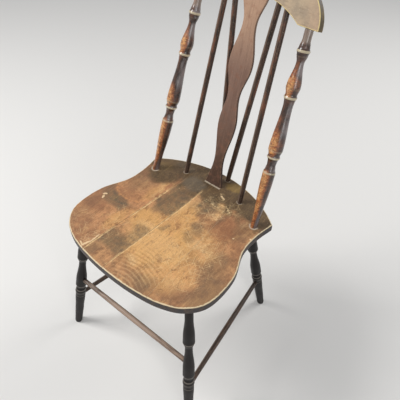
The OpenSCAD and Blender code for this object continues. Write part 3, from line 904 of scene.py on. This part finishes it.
def make_seat(material):
    """Four planks, with a worn arris round the outside and a fine groove at each glue joint."""
    for i, node in enumerate(BOARDS):
        plank = bpy.data.objects.new(node.replace("board", "plank"), NODES[node].data.copy())
        plank.data.name = plank.name
        bpy.context.scene.collection.objects.link(plank)
        only(plank)
        bpy.ops.mesh.customdata_custom_splitnormals_clear()
        open_edit(plank)
        bpy.ops.mesh.remove_doubles(threshold=0.01 * MM)
        bpy.ops.mesh.dissolve_limited(angle_limit=radians(0.2))
        leave_edit()

        def ends(edge):
            return [plank.data.vertices[index].co for index in edge.vertices]

        def outside(edge):
            off_joint = max(from_joint(p) for p in ends(edge)) > 2 * TOUCH
            return off_joint and not any(at_socket(p) for p in ends(edge))

        def on_joint(face):
            return all(from_joint(plank.data.vertices[index].co) < TOUCH for index in face.vertices)

        rim = rim_of(plank, lambda face: face.normal.z > 0.97)
        pick(plank, "EDGE", lambda edge: edge.index in rim and outside(edge))
        bpy.ops.mesh.bevel(offset=ARRIS, segments=4, clamp_overlap=False)
        low = seat_top - SEAT_EDGE
        pick(plank, "EDGE", lambda edge: outside(edge) and all(abs(p.z - low) < CLOSE for p in ends(edge)))
        bpy.ops.mesh.bevel(offset=LOW_ARRIS, segments=2, clamp_overlap=False)
        leave_edit()
        rim = rim_of(plank, on_joint)
        lowest = seat_top - 1.2 * ARRIS
        pick(plank, "EDGE", lambda edge: edge.index in rim and min(p.z for p in ends(edge)) > lowest)
        bpy.ops.mesh.bevel(offset=GROOVE, segments=1, clamp_overlap=False)
        leave_edit()

        wear_seat(plank, i)
        board = plank.data.attributes.new("board", "FLOAT", "POINT")
        board.data.foreach_set("value", [float(i)] * len(plank.data.vertices))
        hand_over(plank, material, "seat_finish", node)
        even_normals(plank)


# ------------ the finishes of the parts

CREAM = (226, 206, 168)

# Millimetres on the seat: the pitch of the growth rings, and the pale rings round what stands in it
ARC_PITCH = 5.8
POST_HALO = 14
SPINDLE_HALO = 10
HALO_AHEAD = 3

SEAT_CHIPS = (
    (-184, -88, 6, 3, 40, 1), (-180, -98, 3, 6, 25, 1), (-97, -222, 2.5, 12, -12, 1),
    (-93, -200, 2, 16, 0, 0.9), (-104, -228, 9, 2, -20, 0.9), (175, 25, 3, 2, 0, 1),
    (45, 91, 9, 2, -20, 0.8), (144, 2, 2.5, 2, 0, 0.8),
)


def seat_finish():
    """Dark stain worn through to golden wood where it has been sat on, and left dark round the back, with
    painted shade towards the outline and a painted glint on the back.
    """
    f = Finish("worn_seat")
    mm = f.place
    x, y = (f.part(mm, axis) for axis in "XY")
    board = f.attribute("board")
    ragged = f.wobbled(f.wobbled(mm, 0.035, 34), 0.16, 10)
    blotch = f.noise(mm, 0.022, 5, 0.62)
    mottle = f.noise(mm, 0.085, 5, 0.65)
    fine = f.noise(mm, 0.5, 4, 0.6)
    shifted = f.vector("ADD", mm, f.vector("MULTIPLY", f.as_vector(board), (37, 90, 0)))
    grain = f.streaks(shifted, "Y", 0.32, 16)
    hair = f.streaks(shifted, "Y", 1.5, 22)

    f.base = f.mix(f.span(blotch, 0.36, 0.62), (167, 121, 83), (212, 157, 108))
    f.paint(f.span(mottle, 0.42, 0.66), (120, 90, 64), 0.6)
    f.paint(f.strip(board, -0.5, 0.5, 0.2), (186, 124, 88), 0.3)
    gold = f.times(f.attribute("gold"), f.span(mottle, 0.28, 0.5, 0.45, 1))
    f.paint(gold, (220, 168, 104), 0.92)
    smears = f.noise(f.moved(f.wobbled(mm, 0.03, 30), turn=(0, 0, 0.5), stretch=(1, 0.45, 1)), 0.075, 6, 0.7)
    f.paint(f.span(smears, 0.52, 0.64, 0, 0.66), (138, 96, 62))
    f.paint(f.span(smears, 0.44, 0.32, 0, 0.42), (240, 190, 126))
    bright = f.times(f.attribute("bright"), f.span(fine, 0.4, 0.58, 0.35, 1))
    f.paint(bright, (228, 184, 130), 0.8)
    f.paint(f.attribute("red"), (148, 97, 68), 0.75)
    dark = f.times(f.attribute("dark"), f.span(mottle, 0.36, 0.64, 1, 0.55))
    f.paint(dark, f.mix(f.span(blotch, 0.4, 0.6), (98, 87, 70), (114, 96, 70)))

    f.paint(f.span(fine, 0.48, 0.34, 0, 0.35), (112, 78, 50))
    f.paint(f.span(fine, 0.58, 0.7, 0, 0.25), (242, 200, 140))

    # Painted shade: the seat darkens towards its whole outline, outside the middle oval
    painted_edge_shade = f.math("SUBTRACT", 1.0, f.attribute("middle"))
    f.paint(painted_edge_shade, f.mix(f.span(blotch, 0.4, 0.6), (118, 84, 66), (138, 104, 74)), 0.32)

    # The back of the seat, out of reach of the sitter, kept most of its stain
    back_edge = f.plus(y, f.stray(mm, 0.045, 95))
    deck = f.most(f.span(back_edge, 40, 78), f.attribute("deck"))
    deck_tone = f.mix(f.span(mottle, 0.4, 0.68), (74, 61, 44), (96, 78, 55))
    f.paint(deck, deck_tone, 0.93)
    # Painted highlight: a warm glint on the back of the seat right of the splat, and a faint one at the left
    f.paint(f.patches(ragged, ((48, 140, 22, 16, 0, 1), (-140, 90, 20, 20, 0, 0.3))), (150, 122, 68), 0.6)
    f.paint(f.patches(ragged, ((-40, 82, 30, 24, 0, 1), (-100, 120, 30, 14, 0, 0.6))), (116, 106, 92), 0.5)
    speckle = f.span(f.noise(mm, 0.3, 3, 0.7), 0.6, 0.68)
    f.paint(f.times(speckle, deck), (196, 160, 100), 0.45)

    # Grain: long streaks, and the nested arcs at the front
    f.paint(f.span(grain, 0.36, 0.6, 0.15, 0), (96, 68, 46))
    f.paint(f.span(grain, 0.54, 0.72, 0, 0.13), (232, 188, 128))
    f.paint(f.span(hair, 0.58, 0.68, 0, 0.06), (92, 68, 48))
    arcs = f.moved(f.wobbled(mm, 0.02, 16), move=(-36, 262, 0), stretch=(1, 0.6, 1))
    wave = f.math("SINE", f.times(f.distance(arcs), 2 * pi / ARC_PITCH))
    arc_area = f.times(f.patch(mm, (40, -196), (44, 54), 0, 0.9), f.span(mottle, 0.3, 0.6, 0.5, 1))
    f.paint(f.times(f.span(wave, 0, 1), f.times(arc_area, 0.2)), (236, 202, 152))
    f.paint(f.times(f.span(wave, 0, -1), f.times(arc_area, 0.28)), (126, 98, 70))

    # Criss-cross scratches, most of them where the seat is palest
    scratches = []
    for turn, seed, reach in ((0.5, 11.0, 26), (-0.35, 47.0, 26), (1.2, 83.0, 22), (-1.0, 5.0, 30)):
        turned = f.moved(f.moved(mm, turn=(0, 0, turn)), move=(seed, seed * 3, 0))
        scratches.append(f.span(f.streaks(turned, "Y", 0.62, reach, 2), 0.64, 0.7))
    scratches = f.any_of(scratches)
    f.paint(f.times(scratches, f.times(f.attribute("scuffed"), 0.68)), (238, 204, 150))
    slanted = f.moved(f.wobbled(mm, 0.12, 6), turn=(0, 0, 1.25))
    slanted = f.moved(slanted, move=(19, 7, 0), stretch=(0.34, 0.1, 1))
    strokes = f.times(f.span(f.noise(slanted, 1.0, 4, 0.7), 0.54, 0.6), f.attribute("flaked"))
    f.paint(strokes, (246, 214, 160), 0.85)
    dents = f.span(f.noise(mm, 0.42, 2, 0.5), 0.69, 0.73)
    f.paint(dents, (70, 50, 36), 0.7)
    flecks = f.span(f.noise(f.moved(mm, move=(70, 0, 0)), 0.5, 2, 0.5), 0.7, 0.74)
    f.paint(flecks, (236, 208, 160), 0.75)

    # A stain left by a round foot, glue joints, chips and the rings round what stands in the seat
    stain_ring = f.distance(f.moved(f.wobbled(mm, 0.09, 22), move=(140, 10, 0)))
    stain = f.times(f.strip(stain_ring, 55, 59, 3), f.span(f.plus(f.times(x, -0.5), f.times(y, -1)), 60, 100))
    stain = f.times(stain, f.span(f.noise(mm, 0.1, 4, 0.6), 0.36, 0.58, 0.1, 1))
    f.paint(stain, (206, 146, 94), 0.8)
    grooves = []
    for line, start, stop, strength, depth in (
        (joint_lines[0], -100, 32, 0.9, 1), (joint_lines[0], -232, -150, 1, 0.3),
        (joint_lines[1], -240, 78, 0.75, 1), (joint_lines[2], -150, -20, 0.2, 0.4),
    ):
        front, rear = line
        lean = (rear.x - front.x) / (rear.y - front.y)
        off = f.plus(f.plus(x, f.times(y, -lean)), -(front.x - front.y * lean) / MM)
        grooves.append(f.times(f.span(f.math("ABSOLUTE", off), 1.1, 0.6), depth))
        off = f.plus(off, f.stray(mm, 0.07, 7, 3))
        glow = f.times(f.strip(off, -1.2, 2.6, 1.6), f.strip(y, start, stop, 12))
        glow = f.times(glow, f.span(f.noise(mm, 0.13, 3, 0.6), 0.34, 0.56, 0.25, 1))
        f.paint(f.times(glow, strength), (240, 202, 146))
    groove = f.any_of(grooves)
    f.paint(f.patches(f.wobbled(mm, 0.28, 5), SEAT_CHIPS, 0.3), (234, 204, 160), 0.85)
    halos = []
    for foot, reach in [(line[0], POST_HALO) for line in post_lines.values()] + [
        (line[0], SPINDLE_HALO) for line in spindle_lines.values()
    ]:
        centre = (foot.x / MM, foot.y / MM + HALO_AHEAD, 0)
        away = f.distance(f.vector("SUBTRACT", mm, centre), (1, 0.8, 0))
        in_front = f.span(y, foot.y / MM + HALO_AHEAD, foot.y / MM - HALO_AHEAD)
        halos.append(f.times(f.span(away, reach, reach - 3.5), in_front))
    splat_x, splat_y = splat_line[0].x / MM, splat_line[0].y / MM
    front_line = f.times(f.strip(x, splat_x - 24, splat_x + 24, 2), f.strip(y, splat_y - 9, splat_y - 3, 1.5))
    halo = f.times(f.any_of([*halos, front_line]), f.span(fine, 0.34, 0.5, 0.5, 1))
    f.paint(halo, (206, 190, 168), 0.8)

    # Round the outside: a pale rubbed arris, a dark edge and plain brown beneath
    up = f.facing((0, 0, 1))
    arris_noise = f.plus(up, f.stray(mm, 0.09, 0.55, 5, 0.7))
    arris = f.times(f.span(arris_noise, 1.02, 0.93), f.span(up, 0.999, 0.99))
    arris = f.times(arris, f.math("SUBTRACT", 1.0, groove))
    f.paint(f.times(groove, f.span(mottle, 0.3, 0.6, 0.2, 0.6)), (92, 68, 46))
    f.paint(arris, CREAM, 0.9)
    edge_tone = f.mix(f.span(mottle, 0.4, 0.7), (50, 46, 48), (84, 70, 60))
    f.paint(f.span(arris_noise, 0.55, 0.3), edge_tone)
    under_tone = f.mix(f.span(grain, 0.35, 0.65), (70, 50, 38), (104, 78, 56))
    f.paint(f.span(up, -0.3, -0.6), under_tone)

    rough = f.plus(f.span(mottle, 0.3, 0.7, 0.42, 0.56), f.times(gold, 0.08))
    height = f.plus(f.plus(f.times(grain, 0.3), f.times(fine, 0.35)),
                    f.times(f.plus(scratches, strokes), -0.3))
    f.gloss(0.3)
    return f.finish(rough, height, 0.6, 0.0006)


def turned_finish(name, dark, mid, worn, painted_highlight_tone, ring_wear_and_highlight_tone, worn_share, crackle_share, rough, coat,
                  painted_sheen_share,
                  neck=None):
    """Gloss on turned wood: crackled across, worn to warm wood on the bellies, pale on the rings where worn
    and as a painted highlight; painted light also makes the side towards the key light warmer and brighter,
    and lays a grey painted sheen on the right.
    """
    f = Finish(name)
    own = f.own_place()
    rubbed = f.attribute("rubbed")
    proud = f.attribute("proud")
    mottle = f.noise(own, 0.06, 5, 0.65)
    blotch = f.noise(f.moved(own, stretch=(1, 1, 0.4)), 0.05, 4, 0.6)
    crackle = f.noise(f.moved(own, stretch=(0.1, 0.1, 1)), 0.8, 4, 0.65)
    streak = f.streaks(own, "Z", 0.55, 14)

    f.base = f.mix(f.span(mottle, 0.38, 0.66), dark, mid)
    # Painted light: the side that faces up, left and forward, towards the key light, adds to the warm worn
    # tone as well as the real rubbing
    left = f.span(f.facing((-0.5, -0.7, 0.5)), 0.0, 0.85, -0.38, 0.12)
    wear = f.plus(f.plus(f.times(rubbed, 0.75), left), f.plus(blotch, -0.5))
    wear = f.times(f.span(wear, 0.28, 0.66), worn_share)
    warm = f.mix(f.span(f.noise(own, 0.11, 4, 0.6), 0.4, 0.64), worn, f.deeper(worn, 0.55))
    f.paint(wear, warm)
    # Painted highlight: a bright warm tone where the belly is rubbed and faces the key light
    lit = f.plus(f.plus(f.times(rubbed, 0.6), left), f.plus(f.noise(own, 0.16, 4, 0.65), -0.5))
    lit = f.span(lit, 0.48, 0.78)
    f.paint(f.times(lit, worn_share * 0.72), painted_highlight_tone)
    f.paint(f.times(f.span(crackle, 0.5, 0.4), crackle_share), (38, 26, 20))
    f.paint(f.span(streak, 0.56, 0.7), mid, 0.25)
    # Painted sheen: a pale grey painted reflection on the side that faces right and up, strongest where the
    # finish is least rubbed
    painted_sheen = f.span(f.plus(f.facing((0.745, -0.22, 0.63)), f.times(f.plus(streak, -0.5), 0.3)), 0.6, 0.86)
    painted_sheen = f.times(f.times(painted_sheen, f.span(rubbed, 0.95, 0.4, 0.15, 1)), f.span(blotch, 0.34, 0.56))
    f.paint(f.times(painted_sheen, painted_sheen_share), (164, 156, 156))
    if neck is not None:
        top = f.times(f.span(f.part(own, "Z"), neck - 6, neck + 4), f.span(streak, 0.3, 0.6, 0.4, 1))
        f.paint(top, (160, 142, 128), 0.7)
    # The proud rings: pale where the finish is worn through, with a painted highlight in the same tone
    ring = f.times(f.span(proud, 0.16, 0.7), f.span(mottle, 0.24, 0.46, 0.6, 1))
    f.paint(ring, ring_wear_and_highlight_tone, 0.9)
    hollow = f.span(proud, -0.4, -1.1)
    f.paint(hollow, dark, 0.5)
    f.gloss(0.25, coat, 0.2)
    return f.finish(f.span(mottle, 0.3, 0.7, rough, rough + 0.16), f.plus(crackle, f.times(streak, 0.4)), 0.3,
                    0.0004)


def rod_finish(name, dark, mid, worn, worn_share, pale_top_worn_and_highlit=None, along="Z"):
    """Plain brown rods: long streaks, a few rubbed places, a painted highlight on the left flank and, if
    asked for, a paler upper side that is partly worn and partly painted highlight.
    """
    f = Finish(name)
    own = f.own_place()
    rubbed = f.attribute("rubbed")
    streak = f.streaks(own, along, 0.5, 14)
    mottle = f.noise(f.moved(own, stretch=(1, 1, 0.3)), 0.09, 4, 0.6)
    f.base = f.mix(f.span(streak, 0.36, 0.64), dark, mid)
    wear = f.span(f.plus(f.times(rubbed, 0.35), f.plus(mottle, -0.5)), 0.2, 0.42)
    f.paint(f.times(wear, worn_share), worn)
    f.paint(f.span(f.noise(own, 0.5, 3, 0.6), 0.62, 0.7), CREAM, 0.3)
    # Painted highlight: a pale streaky band on the side that faces left and forward, towards the key light
    painted_flank_highlight = f.times(f.span(f.facing((-0.7, -0.6, 0.38)), 0.55, 0.92), f.span(streak, 0.4, 0.6, 0.4, 1))
    f.paint(painted_flank_highlight, (140, 118, 102), 0.7)
    if pale_top_worn_and_highlit is not None:
        # The upper side: rubbed pale by feet, and a painted highlight where it faces up
        top = f.span(f.facing((0, -0.45, 0.89)), 0.15, 0.8)
        top = f.times(top, f.span(f.plus(f.times(rubbed, 0.5), f.plus(streak, -0.5)), 0.02, 0.4))
        f.paint(top, pale_top_worn_and_highlit, 0.85)
    f.gloss(0.25, 0.15, 0.22)
    return f.finish(f.span(mottle, 0.3, 0.7, 0.38, 0.5), streak, 0.3, 0.0004)


def splat_finish():
    """Matt reddish brown, streaked along the board, with painted light that leaves it dark low down and paler
    near its top.
    """
    f = Finish("worn_splat")
    own = f.own_place()
    height = f.part(own, "Z")
    streak = f.streaks(own, "Z", 0.34, 16)
    hair = f.streaks(own, "Z", 1.6, 20)
    mottle = f.noise(own, 0.08, 4, 0.6)
    # Painted light: darker low on the board and paler near its top, as if lit from above
    f.base = f.mix(f.span(height, 10, 260), (74, 53, 41), (122, 95, 82))
    f.paint(f.span(height, 270, 430), (178, 144, 119))
    f.paint(f.span(streak, 0.5, 0.32, 0, 0.3), (80, 56, 46))
    f.paint(f.span(streak, 0.55, 0.72, 0, 0.22), (176, 140, 118))
    f.paint(f.span(mottle, 0.5, 0.72, 0, 0.4), (128, 84, 64))
    f.paint(f.span(hair, 0.58, 0.68), (70, 48, 42), 0.15)
    grit = f.noise(own, 0.45, 3, 0.7)
    f.paint(f.span(grit, 0.6, 0.7, 0, 0.4), (186, 156, 132))
    f.paint(f.span(grit, 0.42, 0.32, 0, 0.3), (84, 60, 50))
    ahead = f.facing((0, -0.95, 0.3))
    side = f.span(f.math("ABSOLUTE", ahead), 0.5, 0.2)
    f.paint(side, (58, 44, 38), 0.6)
    corner = f.strip(f.math("ABSOLUTE", ahead), 0.55, 0.93, 0.08)
    f.paint(f.times(corner, f.span(mottle, 0.4, 0.6, 0.1, 0.6)), (186, 152, 126))
    f.gloss(0.3)
    return f.finish(f.span(mottle, 0.3, 0.7, 0.6, 0.72), f.plus(streak, f.times(hair, 0.4)), 0.3, 0.0004)


def crest_finish():
    """Greyed beige on the front face, a bright rubbed outline and a darker, golden brown edge."""
    f = Finish("worn_crest")
    mm = f.place
    streak = f.streaks(mm, "X", 0.3, 14)
    mottle = f.noise(mm, 0.05, 5, 0.62)
    fine = f.noise(mm, 0.45, 4, 0.6)
    f.base = f.mix(f.span(mottle, 0.36, 0.66), (150, 132, 110), (176, 154, 126))
    f.paint(f.span(streak, 0.48, 0.34, 0, 0.4), (118, 98, 76))
    f.paint(f.span(fine, 0.55, 0.7, 0, 0.4), (198, 180, 150))
    warm = f.times(f.span(f.math("ABSOLUTE", f.part(mm, "X")), 100, 158), f.span(mottle, 0.3, 0.6, 0.4, 1))
    f.paint(warm, (174, 140, 114), 0.5)
    ahead = f.facing((0, -cos(BACK_RAKE), sin(BACK_RAKE)))
    edge = f.plus(ahead, f.stray(mm, 0.08, 0.16))
    f.paint(f.times(f.span(edge, 0.985, 0.9), f.span(ahead, 0.975, 0.96)), (236, 212, 150))
    wall = f.mix(f.span(mottle, 0.4, 0.66), (66, 56, 42), (116, 98, 66))
    f.paint(f.span(edge, 0.6, 0.4), wall)
    f.paint(f.span(ahead, -0.5, -0.9), f.mix(f.span(streak, 0.4, 0.6), (62, 46, 36), (98, 74, 54)))
    return f.finish(f.span(mottle, 0.3, 0.7, 0.5, 0.62), f.plus(streak, f.times(fine, 0.3)), 0.25, 0.0004)


# ------------ the chair

aim_camera()
lay_floor()
light_studio()

make_seat(seat_finish())
make_legs(turned_finish("dark_legs", (15, 12, 12), (27, 22, 20), (62, 43, 33), (78, 60, 48),
                        (128, 120, 110), 0.2, 0.3, 0.4, 0.04, 0.0))
make_posts(turned_finish("crackled_posts", (46, 32, 26), (88, 56, 41), (172, 100, 56),
                         (236, 178, 114), (196, 182, 152), 0.92, 0.7, 0.24, 0.8, 0.5, 411))
make_spindles(rod_finish("brown_spindles", (42, 31, 25), (78, 59, 48), (118, 72, 50), 0.8))
plain_rail = rod_finish("brown_rails", (46, 36, 31), (80, 64, 54), (110, 80, 60), 0.5)
# The front rail is worn paler by feet and has a painted highlight along its top
front_rail = rod_finish("trodden_highlit_rail", (60, 46, 38), (92, 74, 62), (122, 90, 68), 0.5,
                        (168, 144, 126))
make_stretchers([front_rail, plain_rail, plain_rail, plain_rail])
make_splat(splat_finish())
make_crest(crest_finish())
